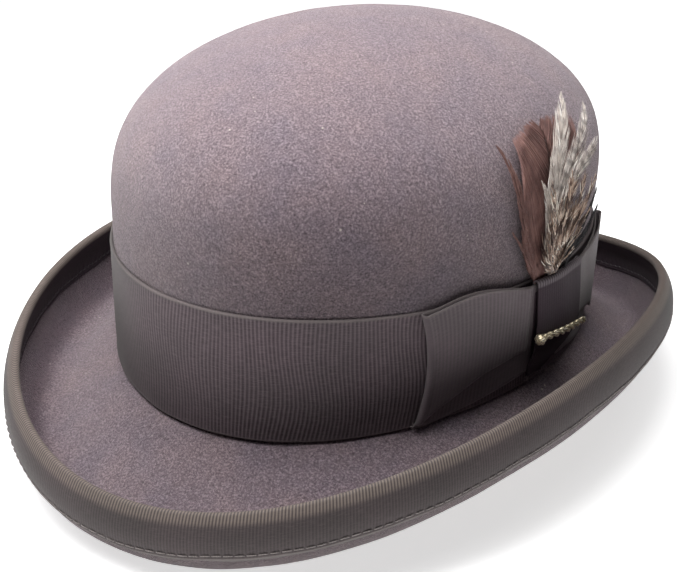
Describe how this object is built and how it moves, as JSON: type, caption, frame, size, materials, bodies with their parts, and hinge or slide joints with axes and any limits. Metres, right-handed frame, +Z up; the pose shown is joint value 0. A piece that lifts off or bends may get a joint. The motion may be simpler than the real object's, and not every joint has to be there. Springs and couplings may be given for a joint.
{
  "type": "bowler hat",
  "caption": "Wool felt bowler hat with a rounded crown, a bound and curled brim, a wide grosgrain band, a flat side bow with a bar pin, and a removable feather trim.",
  "frame": {"origin": "midway between the two lowest points of the brim, at the front and the back, on the plane the hat rests on", "axes": "+Z up through the crown, -Y towards the hat's front, +X towards the wearer's left, the side with the bow"},
  "size_m": [0.2406, 0.3058, 0.1517],
  "materials": {
    "wool_felt": "fuzzy matt wool felt",
    "band_grosgrain": "ribbed, low sheen",
    "binding_grosgrain": "ribbed, low sheen",
    "sewing_thread": "twisted thread",
    "gold_tone_brass": "polished",
    "brown_feather": "soft feather barbs",
    "grizzly_feather": "soft striped feather barbs",
    "black_feather": "soft feather barbs",
    "sweatband_leather": "smooth, light gloss",
    "lining_satin": "satin sheen",
    "backing_card": "matt"
  },
  "bodies": {
    "hat": {"felt_body": "wool_felt", "brim_binding": "binding_grosgrain", "binding_stitches_outer": "sewing_thread", "binding_stitches_inner": "sewing_thread", "hat_band": "band_grosgrain", "bow_front_wing": "band_grosgrain", "bow_rear_wing": "band_grosgrain", "bow_knot": "band_grosgrain", "bar_pin": "gold_tone_brass", "bar_pin_bead": "gold_tone_brass", "bow_tack_front": "sewing_thread", "bow_tack_knot": "sewing_thread", "bow_tack_rear": "sewing_thread", "sweatband": "sweatband_leather", "sweatband_reed": "sweatband_leather", "sweatband_stitches": "sewing_thread", "sweatband_bow": "band_grosgrain", "lining_side": "lining_satin", "lining_tip": "lining_satin", "lining_piping": "lining_satin"},
    "feather_trim": {"feather_card": "backing_card", "feather_broad_brown": "brown_feather", "feather_brown_wisp": "brown_feather", "feather_grizzly_tall": "grizzly_feather", "feather_grizzly_short": "grizzly_feather", "feather_mottled": "grizzly_feather", "feather_black": "black_feather"}
  },
  "joints": [
    {"name": "feather_trim_slide", "type": "slide", "parent": "hat", "child": "feather_trim", "axis": [0.0444, 0.0063, 0.999], "range_m": [0, 0.03]}
  ]
}
